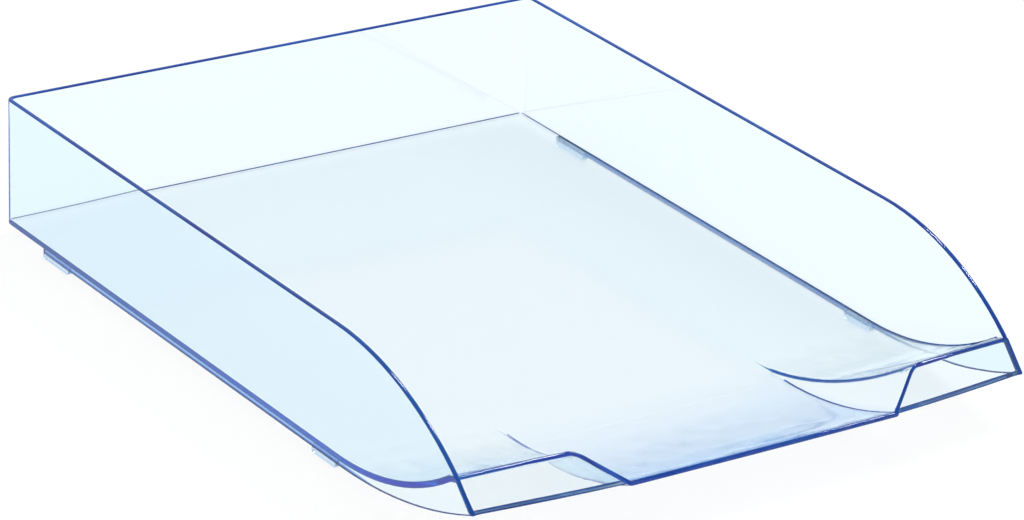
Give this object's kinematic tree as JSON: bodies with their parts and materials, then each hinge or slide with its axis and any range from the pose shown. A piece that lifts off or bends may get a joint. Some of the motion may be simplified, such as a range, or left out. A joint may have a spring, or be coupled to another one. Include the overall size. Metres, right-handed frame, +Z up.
{
  "type": "letter tray",
  "caption": "Clear tinted letter tray with walls that curve down to the front, raised front lips with a hand notch, and small feet that stand on a desk or in the rim of a tray below.",
  "frame": {"origin": "on the desk under the middle of the tray's outline", "axes": "+X to the right seen from the front, +Y to the closed back wall, +Z up"},
  "size_m": [0.257, 0.343, 0.0585],
  "materials": {
    "tinted_polystyrene": "clear ice-blue polystyrene, polished mould, glossy",
    "clear_polystyrene": "clear polystyrene with a faint blue tint, glossy"
  },
  "bodies": {
    "root": {"tray_shell": "tinted_polystyrene", "foot_rear_left": "clear_polystyrene", "foot_rear_right": "clear_polystyrene", "foot_front_left": "clear_polystyrene", "foot_front_right": "clear_polystyrene"}
  },
  "joints": []
}
